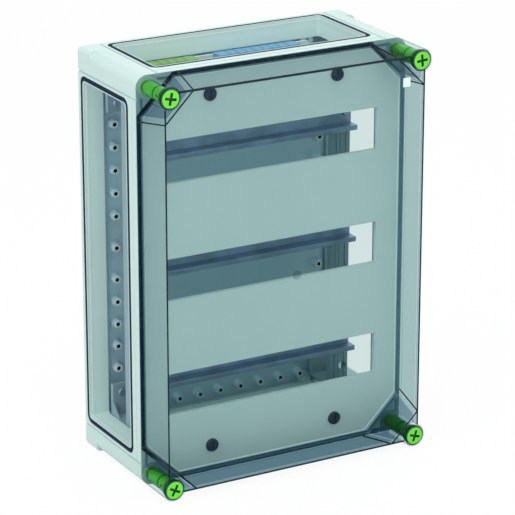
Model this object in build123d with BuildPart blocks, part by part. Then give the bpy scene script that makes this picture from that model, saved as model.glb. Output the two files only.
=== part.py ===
"""Modular distribution cabinet: moulded case with open flange windows, clear lid and three DIN rails.

Millimetres. +X is right, +Y is towards the wall, +Z is up. The origin is below the middle of the cabinet.
"""

from build123d import *
import os

# Case, a moulded box that is open to the front
case_w = 314.0
case_h = 439.0
face_to_back = 178.0
case_wall = 3.0
floor_thick = 5.0
column_r = 12.5
column_groove_w = 1.8
column_groove_d = 1.5
column_groove_in = 24.5
corner_block = 24.0
corner_block_r = 5.0
corner_block_deep = 26.0
corner_wall_leg = 52.0
channel_rear_r = 9.0
channel_rear_deep = 55.0
back_recess_deep = 1.2
back_frame_w = 22.0
back_rib_w = 14.0
rim_groove_w = 2.4
rim_groove_d = 0.8
rim_groove_in = 7.5

# Rim of the case, which carries the seal of the lid and the ledge of the inner plate
collar_w = 10.5
collar_deep = 12.0
collar_leg = 56.0
rim_seal_in = 1.0
rim_seal_w = 4.4
rim_seal_deep = 3.0
rim_seal_leg_out = 42.0
lid_gap = 0.5

# Flange windows in all four sides
window_margin = 30.8
window_front_in = 19.5
window_back_in = 7.0
window_seal_w = 5.0
window_seal_r = 9.5
window_seal_deep = 2.5
window_seal_sunk = 0.3
window_lip = 1.0
window_pad_deep = 7.0
window_pad_w = 3.5
tunnel_deep = 23.0
tunnel_wall = 2.6
tunnel_step_in = 0.5
tunnel_step_deep = 3.5
tunnel_r = 3.5

# Screw domes on the floor
dome_base_r = 5.6
dome_top_r = 4.4
dome_tall = 9.0
dome_hole_r = 2.1
dome_hole_deep = 7.0
dome_from_tunnel = 11.0
dome_first = 35.0
domes_per_flank = 5
dome_row_from_tunnel = 11.8
dome_row_end_in = 57.0
dome_row_count = 9
wall_hole_r = 3.2
wall_hole_in_x = 49.5
wall_hole_in_z = 26.0
wall_boss_r = 8.0
wall_boss_tall = 6.0

# Lid
lid_flare = 7.0
lid_wall = 3.0
lid_deep = 49.0
lid_flange_w = 6.3
lid_flange_thick = 3.0
lid_diagonal_leg = 47.0
lid_diagonal_thick = 2.5
lid_channel_proud = 1.5
lid_edge_r = 1.5

# Captive lid screws
screw_in = 12.5
head_r = 10.0
head_thick = 8.5
head_proud = 2.5
head_edge = 1.0
head_clear = 0.4
screw_body_r = 7.6
screw_clear = 0.6
screw_neck_r = 4.2
screw_neck_at = 21.5
screw_web_thick = 2.0
screw_web_clear = 0.4
screw_sleeve_len = 19.0
screw_tip_r = 4.9
screw_tip_len = 22.0
screw_tip_clear = 0.3
screw_side_hole_r = 1.9
screw_side_hole_at = 14.0
cross_len = 12.5
cross_w = 2.6
cross_deep = 3.4
bush_r = 6.8
bush_len = 16.0

# Inner contact plate
plate_in = 6.6
plate_leg = 37.3
plate_thick = 3.0
plate_clear = 0.4
plate_bead_w = 1.4
plate_bead_h = 0.7
cutout_in = 32.7
cutout_h = 45.3
cutout_r = 1.6
cutout_lip_w = 1.6
cutout_lip_deep = 2.4
row_pitch = 125.0
lock_x = 74.0
lock_in_z = 29.5
lock_head_r = 7.0
lock_head_proud = 3.4
lock_edge = 0.8
lock_shaft_r = 4.0
lock_shaft_len = 20.0
lock_clear = 0.3
lock_slot_w = 1.6
lock_slot_len = 9.0
lock_slot_d = 1.2
lock_block_w = 17.0
lock_block_front = 7.0
lock_block_deep = 14.0
lock_block_over = 8.0

# DIN rails, 35 mm wide and 15 mm deep
rail_gap = 0.5
rail_w = 35.0
rail_hat_w = 27.0
rail_deep = 15.0
rail_thick = 1.5
rail_front = 104.0
rail_screw_from_tunnel = 8.0
rail_screw_r = 2.0
rail_screw_head_r = 4.6
rail_screw_head_h = 2.6
pan_head_taper = 20.0
rail_screw_len = 9.0

# Rail supports, one upright at each side
support_gap = 0.6
support_end_gap = 8.5
support_w = 22.0
support_thick = 2.5
support_flange_deep = 10.0
support_foot_len = 38.0
support_foot_thick = 5.0
support_end_thick = 3.0
support_gusset = 14.0
support_gusset_thick = 2.0
support_step_w = 6.0
support_step_d = 1.2
support_line_w = 1.2
support_line_d = 0.7
support_line_shares = (0.42, 0.74)
support_hole_r = 4.5
support_hole_in = 6.8
support_hole_from_end = 24.0
support_dome_from_end = 28.0
foot_screw_len = 8.0

# Earth and neutral terminals on the top row of domes
carrier_over = 8.0
carrier_up = 3.0
carrier_h = 16.0
carrier_end_r = 4.9
carrier_thick = 3.0
earth_cells = 5
earth_end_gap = 10.0
neutral_cells = 9
neutral_end_gap = 13.0
block_gap = 25.0
terminal_up = 5.5
terminal_h = 15.0
terminal_deep = 15.0
terminal_end = 3.0
cell_groove_w = 0.9
cell_groove_d = 2.0
bar_w = 6.0
bar_from_carrier = 4.0
bar_end_clear = 0.3
clamp_hole_r = 2.9
clamp_screw_r = 2.3
clamp_screw_sunk = 1.0
wire_hole_r = 2.4

# Flat sides on small and on wider bosses, shanks and bores
small_sides = 10
wide_sides = 16

# Blank label inside the lid
label_w = 8.6
label_h = 9.6
label_thick = 0.3
label_in_x = 27.3
label_in_z = 34.7

# Places worked out from the sizes above
y_face = head_proud - (face_to_back + head_proud) / 2
y_back = y_face + face_to_back
y_rim = y_face + lid_deep
y_lid_rim = y_rim - lid_gap
y_floor = y_back - floor_thick
y_dome = y_floor - dome_tall
y_rail = y_face + rail_front
y_web = y_rail + rail_deep
mid_z = case_h / 2
half_w = case_w / 2
half_h = case_h / 2
window_y0 = y_rim + window_front_in
window_y1 = y_back - window_back_in
window_y = (window_y0 + window_y1) / 2
window_d = window_y1 - window_y0
side_window_h = case_h - 2 * window_margin
end_window_w = case_w - 2 * window_margin
screw_x = half_w - screw_in
screw_z = half_h - screw_in
tunnel_x = half_w - tunnel_deep
tunnel_z = half_h - tunnel_deep
rail_len = 2 * (tunnel_x - rail_gap)
rail_screw_x = tunnel_x - rail_screw_from_tunnel
support_x = tunnel_x - support_gap
support_half_h = tunnel_z - support_end_gap
support_hole_x = support_x - support_hole_in
support_hole_z = support_half_h - support_hole_from_end
support_dome_z = support_half_h - support_dome_from_end
dome_x = tunnel_x - dome_from_tunnel
dome_pitch = (support_dome_z - dome_first) / domes_per_flank
dome_row_x = half_w - dome_row_end_in
dome_row_z = tunnel_z - dome_row_from_tunnel
dome_row_pitch = 2 * dome_row_x / (dome_row_count - 1)
wall_hole_x = half_w - wall_hole_in_x
wall_hole_z = half_h - wall_hole_in_z
cutout_w = case_w - 2 * cutout_in
lock_z = half_h - lock_in_z
label_x = half_w - label_in_x
label_z = half_h - label_in_z
cells_w = 2 * dome_row_x - earth_end_gap - neutral_end_gap - block_gap - 4 * terminal_end
cell_pitch = cells_w / (earth_cells + neutral_cells)
earth_len = earth_cells * cell_pitch + 2 * terminal_end
neutral_len = neutral_cells * cell_pitch + 2 * terminal_end
earth_x = earth_end_gap + earth_len / 2 - dome_row_x
neutral_x = dome_row_x - neutral_end_gap - neutral_len / 2
y_terminal = y_dome - carrier_thick
carrier_z = dome_row_z + carrier_up
terminal_z = dome_row_z + terminal_up
rows = [mid_z + row_pitch, mid_z, mid_z - row_pitch]
row_names = ["top", "middle", "bottom"]
corners = {
    "top_left": (-1, 1),
    "top_right": (1, 1),
    "bottom_left": (-1, -1),
    "bottom_right": (1, -1),
}


def facing_front(y):
    """A sketch plane at depth y with X to the right and Z up. Extrusions come towards the front."""
    return Plane(origin=(0, y, mid_z), x_dir=(1, 0, 0), z_dir=(0, -1, 0))


def side_plane(side, inset=0.0):
    """A sketch plane on the left (-1) or right (1) flange, Y and Z in it. Extrusions go inwards."""
    return Plane(
        origin=(side * (half_w - inset), window_y, mid_z),
        x_dir=(0, 1, 0),
        z_dir=(-side, 0, 0),
    )


def end_plane(end, inset=0.0):
    """A sketch plane on the bottom (-1) or top (1) flange, X and Y in it. Extrusions go inwards."""
    return Plane(
        origin=(0, window_y, mid_z + end * (half_h - inset)),
        x_dir=(1, 0, 0),
        z_dir=(0, 0, -end),
    )


def window_sizes(is_side):
    """Width and height of the seal's middle line in the sketch plane of a side or end window."""
    if is_side:
        return window_d, side_window_h
    return end_window_w, window_d


windows = {
    "left": (side_plane, -1, True),
    "right": (side_plane, 1, True),
    "top": (end_plane, 1, False),
    "bottom": (end_plane, -1, False),
}


def octagon(inset, leg):
    """Corner points of the case outline moved in by inset, with corners cut off by a diagonal.

    leg is where the diagonal meets the case's own outline, measured from its corner.
    """
    x = half_w - inset
    z = half_h - inset
    cut = leg - 2 * inset
    return [
        (x - cut, z), (x, z - cut), (x, cut - z), (x - cut, -z),
        (cut - x, -z), (-x, cut - z), (-x, z - cut), (cut - x, z),
    ]


def octagon_face(inset, leg, mode=Mode.ADD):
    """The filled octagon, as part of the sketch that is open."""
    Polygon(*octagon(inset, leg), align=None, mode=mode)


def round_hole(radius, sides=small_sides, mode=Mode.ADD):
    """A hole with flat sides that clear the given radius, in the sketch that is open."""
    RegularPolygon(radius, sides, major_radius=False, mode=mode)


def round_post(radius, sides=small_sides):
    """A boss or shank with flat sides that stay inside the given radius."""
    RegularPolygon(radius, sides)


def dome_places():
    """X and Z of every screw dome, measured from the middle of the floor."""
    places = []
    for side in (-1, 1):
        places.append((side * dome_x, 0.0))
        for step in range(domes_per_flank):
            for end in (-1, 1):
                places.append((side * dome_x, end * (dome_first + step * dome_pitch)))
        for end in (-1, 1):
            places.append((side * dome_x, end * support_dome_z))
    for step in range(dome_row_count):
        for end in (-1, 1):
            places.append((step * dome_row_pitch - dome_row_x, end * dome_row_z))
    return places


def screw_dome():
    """One tapered dome with a blind screw hole, its foot on the sketch plane."""
    with BuildPart() as dome:
        with BuildSketch():
            round_post(dome_base_r)
        with BuildSketch(Plane.XY.offset(dome_tall)):
            round_post(dome_top_r)
        loft(ruled=True)
        with BuildSketch(Plane.XY.offset(dome_tall)):
            round_hole(dome_hole_r)
        extrude(amount=-dome_hole_deep, mode=Mode.SUBTRACT)
    return dome.part


# The case: shell, corner columns, flange pads and window tunnels
with BuildPart() as base:
    with BuildSketch(facing_front(y_back)):
        RectangleRounded(case_w, case_h, column_r)
    extrude(amount=y_back - y_rim)
    with BuildSketch(facing_front(y_back)):
        with GridLocations(case_w - corner_block, case_h - corner_block, 2, 2):
            RectangleRounded(corner_block, corner_block, corner_block_r)
    extrude(amount=corner_block_deep)

    with BuildSketch(facing_front(y_floor)):
        octagon_face(case_wall, corner_wall_leg)
    extrude(amount=y_floor - y_rim - collar_deep, mode=Mode.SUBTRACT)
    with BuildSketch(facing_front(y_rim + collar_deep)):
        octagon_face(collar_w, collar_leg)
    extrude(amount=collar_deep, mode=Mode.SUBTRACT)

    for place, side, is_side in windows.values():
        wide, high = window_sizes(is_side)
        pad = window_seal_w + 2 * window_pad_w
        lip = window_seal_w + 2 * window_lip
        with BuildSketch(place(side, case_wall / 2)):
            Rectangle(wide + pad, high + pad)
        extrude(amount=window_pad_deep - case_wall / 2)
        with BuildSketch(place(side, case_wall / 2)):
            Rectangle(wide - lip + 2 * tunnel_wall, high - lip + 2 * tunnel_wall)
        extrude(amount=tunnel_deep - case_wall / 2)

    for place, side, is_side in windows.values():
        wide, high = window_sizes(is_side)
        lip = window_seal_w + 2 * window_lip
        with BuildSketch(place(side)):
            RectangleRounded(wide - lip, high - lip, tunnel_r + tunnel_step_in)
        extrude(amount=tunnel_step_deep, mode=Mode.SUBTRACT)
        with BuildSketch(place(side, tunnel_step_deep)):
            RectangleRounded(
                wide - lip - 2 * tunnel_step_in, high - lip - 2 * tunnel_step_in, tunnel_r
            )
        extrude(amount=tunnel_deep - tunnel_step_deep, mode=Mode.SUBTRACT)
        with BuildSketch(place(side)):
            RectangleRounded(wide + window_seal_w, high + window_seal_w, window_seal_r)
            RectangleRounded(
                wide - window_seal_w,
                high - window_seal_w,
                window_seal_r - window_seal_w,
                mode=Mode.SUBTRACT,
            )
        extrude(amount=window_seal_deep, mode=Mode.SUBTRACT)

    with BuildSketch(facing_front(y_rim + plate_thick)):
        octagon_face(plate_in - plate_clear, plate_leg + 2 * (plate_in - plate_clear))
    extrude(amount=plate_thick, mode=Mode.SUBTRACT)
    with BuildSketch(facing_front(y_rim + rim_seal_deep)):
        octagon_face(rim_seal_in, rim_seal_leg_out)
        octagon_face(
            rim_seal_in + rim_seal_w,
            rim_seal_leg_out + rim_seal_w * 2**0.5,
            mode=Mode.SUBTRACT,
        )
    extrude(amount=rim_seal_deep, mode=Mode.SUBTRACT)

    with BuildSketch(facing_front(y_rim + bush_len)):
        with GridLocations(2 * screw_x, 2 * screw_z, 2, 2):
            round_post(bush_r)
    extrude(amount=bush_len, mode=Mode.SUBTRACT)
    with BuildSketch(facing_front(y_rim + screw_tip_len)):
        with GridLocations(2 * screw_x, 2 * screw_z, 2, 2):
            round_hole(screw_tip_r + screw_tip_clear)
    extrude(amount=screw_tip_len, mode=Mode.SUBTRACT)
    with BuildSketch(facing_front(y_back)):
        with GridLocations(2 * screw_x, 2 * screw_z, 2, 2):
            round_post(channel_rear_r, wide_sides)
    extrude(amount=channel_rear_deep, mode=Mode.SUBTRACT)

    with BuildSketch(facing_front(y_back)):
        for side in (-1, 1):
            for end in (-1, 1):
                groove_x = half_w - column_groove_in
                groove_z = half_h - column_groove_in
                with Locations((side * half_w, end * groove_z)):
                    Rectangle(2 * column_groove_d, column_groove_w)
                with Locations((side * groove_x, end * half_h)):
                    Rectangle(column_groove_w, 2 * column_groove_d)
    extrude(amount=y_back - y_rim, mode=Mode.SUBTRACT)

    with BuildSketch(facing_front(y_rim + rim_groove_in + rim_groove_w)):
        Rectangle(case_w + 2, case_h - 2 * column_groove_in - column_groove_w)
        Rectangle(case_w - 2 * column_groove_in - column_groove_w, case_h + 2)
        Rectangle(case_w - 2 * rim_groove_d, case_h - 2 * rim_groove_d, mode=Mode.SUBTRACT)
    extrude(amount=rim_groove_w, mode=Mode.SUBTRACT)

    for end in (-1, 1):
        block_z0 = half_h - case_wall
        block_z1 = lock_z - lock_block_over
        with BuildSketch(facing_front(y_rim + lock_block_front + lock_block_deep)):
            for side in (-1, 1):
                with Locations((side * lock_x, end * (block_z0 + block_z1) / 2)):
                    Rectangle(lock_block_w, block_z0 - block_z1)
        extrude(amount=lock_block_deep)
    with BuildSketch(facing_front(y_rim + lock_block_front + lock_block_deep)):
        with GridLocations(2 * lock_x, 2 * lock_z, 2, 2):
            round_hole(lock_shaft_r + lock_clear)
    extrude(amount=lock_block_deep, mode=Mode.SUBTRACT)

    with Locations(facing_front(y_floor)):
        with Locations(*dome_places()):
            add(screw_dome())

    with BuildSketch(facing_front(y_floor)):
        with GridLocations(2 * wall_hole_x, 2 * wall_hole_z, 2, 2):
            round_post(wall_boss_r)
    extrude(amount=wall_boss_tall)
    with BuildSketch(facing_front(y_back)):
        Rectangle(case_w - 2 * back_frame_w, case_h - 2 * back_frame_w)
        Rectangle(back_rib_w, case_h, mode=Mode.SUBTRACT)
        Rectangle(case_w, back_rib_w, mode=Mode.SUBTRACT)
        with GridLocations(2 * wall_hole_x, 2 * wall_hole_z, 2, 2):
            Rectangle(2 * wall_boss_r, 2 * wall_boss_r, mode=Mode.SUBTRACT)
    extrude(amount=back_recess_deep, mode=Mode.SUBTRACT)
    with BuildSketch(facing_front(y_back)):
        with GridLocations(2 * wall_hole_x, 2 * wall_hole_z, 2, 2):
            Circle(wall_hole_r)
    extrude(amount=floor_thick + wall_boss_tall, mode=Mode.SUBTRACT)
base.part.label = "base"


def window_seal(place, side, is_side):
    """A flat rubber frame that lies in the groove round one window."""
    wide, high = window_sizes(is_side)
    with BuildPart() as seal:
        with BuildSketch(place(side, window_seal_sunk)):
            RectangleRounded(wide + window_seal_w, high + window_seal_w, window_seal_r)
            RectangleRounded(
                wide - window_seal_w,
                high - window_seal_w,
                window_seal_r - window_seal_w,
                mode=Mode.SUBTRACT,
            )
        extrude(amount=window_seal_deep - window_seal_sunk)
    return seal


# The seal of the lid lies in the rim groove and cuts across the corners
with BuildPart() as cover_seal:
    with BuildSketch(facing_front(y_rim + rim_seal_deep)):
        octagon_face(rim_seal_in, rim_seal_leg_out)
        octagon_face(
            rim_seal_in + rim_seal_w,
            rim_seal_leg_out + rim_seal_w * 2**0.5,
            mode=Mode.SUBTRACT,
        )
    extrude(amount=rim_seal_deep + lid_gap)
cover_seal.part.label = "cover_seal"

# Brass bushes in the columns, which take the lid screws
with BuildPart() as screw_bushes:
    with BuildSketch(facing_front(y_rim + bush_len)):
        with GridLocations(2 * screw_x, 2 * screw_z, 2, 2):
            round_post(bush_r)
            round_hole(screw_tip_r + screw_tip_clear, mode=Mode.SUBTRACT)
    extrude(amount=bush_len)
screw_bushes.part.label = "screw_bushes"

# The outer form of the lid, from the flat face back to the rim
with BuildPart() as lid_outside:
    with BuildSketch(facing_front(y_lid_rim)):
        RectangleRounded(case_w, case_h, column_r)
    with BuildSketch(facing_front(y_face)):
        RectangleRounded(case_w - 2 * lid_flare, case_h - 2 * lid_flare, lid_edge_r)
    loft()

# Straight walls that cut off the corners of the lid, trimmed to its outer form
with BuildPart() as lid_diagonals:
    with BuildSketch(facing_front(y_lid_rim)):
        octagon_face(0, lid_diagonal_leg - lid_diagonal_thick * 2**0.5)
        octagon_face(0, lid_diagonal_leg, mode=Mode.SUBTRACT)
    extrude(amount=y_lid_rim - y_face)
    add(lid_outside.part, mode=Mode.INTERSECT)

# The lid
with BuildPart() as cover:
    add(lid_outside.part)
    inner_w = case_w - 2 * lid_wall
    inner_h = case_h - 2 * lid_wall
    with BuildSketch(facing_front(y_lid_rim)):
        RectangleRounded(inner_w, inner_h, column_r - lid_wall)
    with BuildSketch(facing_front(y_face + lid_wall)):
        RectangleRounded(inner_w - 2 * lid_flare, inner_h - 2 * lid_flare, lid_edge_r)
    loft(mode=Mode.SUBTRACT)
    add(lid_diagonals.part)
    with BuildSketch(facing_front(y_lid_rim)):
        with GridLocations(2 * screw_x, 2 * screw_z, 2, 2):
            Circle(column_r)
    extrude(amount=y_lid_rim - y_face + lid_channel_proud)
    with BuildSketch(facing_front(y_lid_rim)):
        RectangleRounded(case_w, case_h, column_r)
        Rectangle(case_w - 2 * lid_flange_w, case_h - 2 * lid_flange_w, mode=Mode.SUBTRACT)
    extrude(amount=lid_flange_thick)
    with BuildSketch(facing_front(y_face - head_proud + head_thick)):
        with GridLocations(2 * screw_x, 2 * screw_z, 2, 2):
            Circle(head_r + head_clear)
    extrude(amount=head_thick, mode=Mode.SUBTRACT)
    with BuildSketch(facing_front(y_face + screw_neck_at + screw_web_clear)):
        with GridLocations(2 * screw_x, 2 * screw_z, 2, 2):
            round_hole(screw_body_r + screw_clear, wide_sides)
    extrude(amount=screw_neck_at, mode=Mode.SUBTRACT)
    with BuildSketch(facing_front(y_lid_rim)):
        with GridLocations(2 * screw_x, 2 * screw_z, 2, 2):
            round_hole(screw_body_r + screw_clear, wide_sides)
    extrude(
        amount=lid_deep - lid_gap - screw_neck_at - screw_web_clear - screw_web_thick,
        mode=Mode.SUBTRACT,
    )
    with BuildSketch(facing_front(y_lid_rim)):
        with GridLocations(2 * screw_x, 2 * screw_z, 2, 2):
            round_hole(screw_neck_r + screw_web_clear)
    extrude(amount=lid_deep, mode=Mode.SUBTRACT)
cover.part.label = "cover"

with BuildPart() as cover_label:
    with BuildSketch(facing_front(y_face + lid_wall + label_thick)):
        with Locations((label_x, label_z)):
            Rectangle(label_w, label_h)
    extrude(amount=label_thick)
cover_label.part.label = "cover_label"


def lid_screw(side, end, turn):
    """One captive screw: round head with a cross recess, then body, neck, sleeve and tip behind it."""
    axis = (side * screw_x, end * screw_z)
    head_end = head_thick - head_proud - head_clear
    neck_end = screw_neck_at + screw_web_thick + 2 * screw_web_clear
    sleeve_end = neck_end + screw_sleeve_len
    tip_end = lid_deep + screw_tip_len - screw_web_clear
    shank = [
        (screw_body_r, wide_sides, head_end, screw_neck_at),
        (screw_neck_r, small_sides, screw_neck_at, neck_end),
        (screw_body_r, wide_sides, neck_end, sleeve_end),
        (screw_tip_r, small_sides, sleeve_end, tip_end),
    ]
    with BuildPart() as screw:
        with BuildSketch(facing_front(y_face + head_end)):
            with Locations(axis):
                Circle(head_r)
        extrude(amount=head_end + head_proud)
        front = screw.faces().sort_by(Axis.Y)[0]
        chamfer(front.edges(), head_edge)
        for radius, sides, start, stop in shank:
            with BuildSketch(facing_front(y_face + stop)):
                with Locations(axis):
                    round_post(radius, sides)
            extrude(amount=stop - start)
        with BuildSketch(facing_front(y_face - head_proud + cross_deep)):
            with Locations(axis):
                Rectangle(cross_len, cross_w, rotation=turn)
                Rectangle(cross_len, cross_w, rotation=turn + 90)
        extrude(amount=cross_deep, mode=Mode.SUBTRACT)
        hole_side = Plane(
            origin=(axis[0], y_face + screw_side_hole_at, mid_z + axis[1]),
            x_dir=(0, 1, 0),
            z_dir=(1, 0, 0),
        )
        with BuildSketch(hole_side):
            round_hole(screw_side_hole_r)
        extrude(amount=screw_body_r, both=True, mode=Mode.SUBTRACT)
    return screw


# The inner plate that covers live parts, with one cut-out for each row of devices
with BuildPart() as contact_plate:
    with BuildSketch(facing_front(y_rim + plate_thick)):
        octagon_face(plate_in, plate_leg + 2 * plate_in)
    extrude(amount=plate_thick)
    with BuildSketch(facing_front(y_rim)):
        octagon_face(plate_in, plate_leg + 2 * plate_in)
        octagon_face(
            plate_in + plate_bead_w,
            plate_leg + 2 * plate_in + plate_bead_w * 2**0.5,
            mode=Mode.SUBTRACT,
        )
    extrude(amount=plate_bead_h)
    with BuildSketch(facing_front(y_rim + plate_thick + cutout_lip_deep)):
        with GridLocations(0, row_pitch, 1, 3):
            Rectangle(cutout_w + 2 * cutout_lip_w, cutout_h + 2 * cutout_lip_w)
    extrude(amount=cutout_lip_deep)
    with BuildSketch(facing_front(y_rim + plate_thick + cutout_lip_deep)):
        with GridLocations(0, row_pitch, 1, 3):
            RectangleRounded(cutout_w, cutout_h, cutout_r)
        with GridLocations(2 * lock_x, 2 * lock_z, 2, 2):
            round_hole(lock_shaft_r + lock_clear)
    extrude(amount=plate_thick + cutout_lip_deep, mode=Mode.SUBTRACT)
contact_plate.part.label = "contact_plate"


def plate_lock(side, end):
    """A round turn lock: slotted head on the plate and a shaft into the block behind it."""
    axis = (side * lock_x, end * lock_z)
    with BuildPart() as lock:
        with BuildSketch(facing_front(y_rim)):
            with Locations(axis):
                Circle(lock_head_r)
        extrude(amount=lock_head_proud)
        front = lock.faces().sort_by(Axis.Y)[0]
        chamfer(front.edges(), lock_edge)
        with BuildSketch(facing_front(y_rim + lock_shaft_len)):
            with Locations(axis):
                round_post(lock_shaft_r)
        extrude(amount=lock_shaft_len)
        with BuildSketch(facing_front(y_rim - lock_head_proud + lock_slot_d)):
            with Locations(axis):
                Rectangle(lock_slot_w, lock_slot_len)
        extrude(amount=lock_slot_d, mode=Mode.SUBTRACT)
    return lock


def din_rail(z):
    """A top-hat rail that is open to the front, bent from steel strip."""
    half = rail_w / 2
    hat = rail_hat_w / 2 - rail_thick
    rail_end = Plane(origin=(-rail_len / 2, y_rail, z), x_dir=(0, 1, 0), z_dir=(1, 0, 0))
    with BuildPart() as rail:
        with BuildSketch(rail_end):
            with BuildLine():
                middle = rail_thick / 2
                Polyline(
                    (middle, half),
                    (middle, hat + middle),
                    (rail_deep - middle, hat + middle),
                    (rail_deep - middle, -hat - middle),
                    (middle, -hat - middle),
                    (middle, -half),
                )
            trace(line_width=rail_thick)
        extrude(amount=rail_len)
        with BuildSketch(facing_front(y_web)):
            with Locations((-rail_screw_x, z - mid_z), (rail_screw_x, z - mid_z)):
                round_hole(rail_screw_r)
        extrude(amount=rail_thick, mode=Mode.SUBTRACT)
    return rail


def rail_support(side):
    """An upright that carries the ends of the rails and stands on two tall feet."""
    middle_x = side * (support_x - support_w / 2)
    foot_middle = support_half_h - support_foot_len / 2
    with BuildPart() as support:
        with BuildSketch(facing_front(y_web + support_flange_deep)):
            with Locations((middle_x, 0)):
                Rectangle(support_w, 2 * support_half_h)
                Rectangle(
                    support_w - 2 * support_gusset_thick,
                    2 * support_half_h - 2 * support_end_thick,
                    mode=Mode.SUBTRACT,
                )
        extrude(amount=support_flange_deep)
        with BuildSketch(facing_front(y_web + support_thick)):
            with Locations((middle_x, 0)):
                Rectangle(support_w, 2 * support_half_h)
        extrude(amount=support_thick)
        with BuildSketch(facing_front(y_dome)):
            for end in (-1, 1):
                with Locations((middle_x, end * (support_half_h - support_end_thick / 2))):
                    Rectangle(support_w, support_end_thick)
        extrude(amount=y_dome - y_web)
        with BuildSketch(facing_front(y_dome)):
            for end in (-1, 1):
                with Locations((middle_x, end * foot_middle)):
                    Rectangle(support_w, support_foot_len)
        extrude(amount=support_foot_thick)
        for end in (-1, 1):
            corner_y = y_dome - support_foot_thick
            corner_z = mid_z + end * (support_half_h - support_end_thick)
            corner = Plane(
                origin=(side * support_x, corner_y, corner_z), x_dir=(0, 1, 0), z_dir=(-side, 0, 0)
            )
            with BuildSketch(corner):
                Polygon((0, 0), (-support_gusset, 0), (0, end * side * support_gusset), align=None)
            extrude(amount=support_gusset_thick)
        with BuildSketch(facing_front(y_web + support_step_d)):
            with Locations((side * (support_x - support_w + support_step_w / 2), 0)):
                Rectangle(support_step_w, 2 * support_half_h)
        extrude(amount=support_step_d, mode=Mode.SUBTRACT)
        with BuildSketch(facing_front(y_web + support_line_d)):
            for share in support_line_shares:
                with Locations((side * (support_x - support_w * (1 - share)), 0)):
                    Rectangle(support_line_w, 2 * support_half_h)
        extrude(amount=support_line_d, mode=Mode.SUBTRACT)
        with BuildSketch(facing_front(y_web + support_thick)):
            for end in (-1, 1):
                with Locations((side * support_hole_x, end * support_hole_z)):
                    round_hole(support_hole_r, wide_sides)
            for z in rows:
                with Locations((side * rail_screw_x, z - mid_z)):
                    round_hole(rail_screw_r)
        extrude(amount=support_thick, mode=Mode.SUBTRACT)
        with BuildSketch(facing_front(y_dome)):
            for end in (-1, 1):
                with Locations((side * dome_x, end * support_dome_z)):
                    round_hole(dome_hole_r)
        extrude(amount=support_foot_thick, mode=Mode.SUBTRACT)
    return support


def pan_screws(places, y_seat, shank_r, head_radius, head_height, length):
    """A group of like screws with domed heads, their heads seated at y_seat."""
    with BuildPart() as screws:
        with BuildSketch(facing_front(y_seat + length)):
            with Locations(*places):
                round_post(shank_r)
        extrude(amount=length)
        with BuildSketch(facing_front(y_seat)):
            with Locations(*places):
                round_post(head_radius)
        extrude(amount=head_height, taper=pan_head_taper)
    return screws


# The strip that carries both terminal blocks on the top row of domes
with BuildPart() as terminal_carrier:
    with BuildSketch(facing_front(y_dome)):
        with Locations((0, carrier_z)):
            RectangleRounded(2 * (dome_row_x + carrier_over), carrier_h, carrier_end_r)
    extrude(amount=carrier_thick)
    with BuildSketch(facing_front(y_dome)):
        with Locations((-dome_row_x, dome_row_z), (dome_row_x, dome_row_z)):
            round_hole(dome_hole_r)
    extrude(amount=carrier_thick, mode=Mode.SUBTRACT)
terminal_carrier.part.label = "terminal_carrier"


def cell_places(middle, cells):
    """X of each clamp in a terminal block."""
    first = middle - (cells - 1) / 2 * cell_pitch
    return [first + step * cell_pitch for step in range(cells)]


def terminal_block(middle, cells, length):
    """A moulded block on the carrier, with a slot for its bar and a clamp shaft over each cell."""
    with BuildPart() as block:
        with BuildSketch(facing_front(y_terminal)):
            with Locations((middle, terminal_z)):
                Rectangle(length, terminal_h)
            for x in cell_places(middle, cells)[1:]:
                with Locations((x - cell_pitch / 2, terminal_z + terminal_h / 2)):
                    Rectangle(cell_groove_w, 2 * cell_groove_d, mode=Mode.SUBTRACT)
        extrude(amount=terminal_deep)
        bar_y = y_terminal - bar_from_carrier - bar_w / 2
        with Locations((middle, bar_y, mid_z + terminal_z)):
            Box(length, bar_w, bar_w, mode=Mode.SUBTRACT)
        with BuildSketch(facing_front(y_terminal - bar_from_carrier - bar_w)):
            for x in cell_places(middle, cells):
                with Locations((x, terminal_z)):
                    round_hole(clamp_hole_r)
        extrude(amount=terminal_deep, mode=Mode.SUBTRACT)
        bottom = mid_z + terminal_z - terminal_h / 2
        with BuildSketch(Plane(origin=(0, bar_y, bottom), x_dir=(1, 0, 0), z_dir=(0, 0, 1))):
            for x in cell_places(middle, cells):
                with Locations((x, 0)):
                    round_hole(wire_hole_r)
        extrude(amount=(terminal_h - bar_w) / 2, mode=Mode.SUBTRACT)
    return block


def terminal_bar(middle, length):
    """The brass bar inside a terminal block."""
    with BuildPart() as bar:
        with Locations((middle, y_terminal - bar_from_carrier - bar_w / 2, mid_z + terminal_z)):
            Box(length - 2 * bar_end_clear, bar_w, bar_w)
    return bar


def clamp_screws(middle, cells):
    """The clamp screws of one block, as separate solids that stand on its bar."""
    seat = y_terminal - bar_from_carrier - bar_w
    tall = terminal_deep - bar_from_carrier - bar_w - clamp_screw_sunk
    with BuildPart() as screws:
        with BuildSketch(facing_front(seat)):
            for x in cell_places(middle, cells):
                with Locations((x, terminal_z)):
                    round_post(clamp_screw_r)
        extrude(amount=tall)
    return screws


def keep(name, piece):
    """Label a finished piece and write it under its node name."""
    piece.part.label = name
    export_step(piece.part, f"parts/{name}.step")


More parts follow.
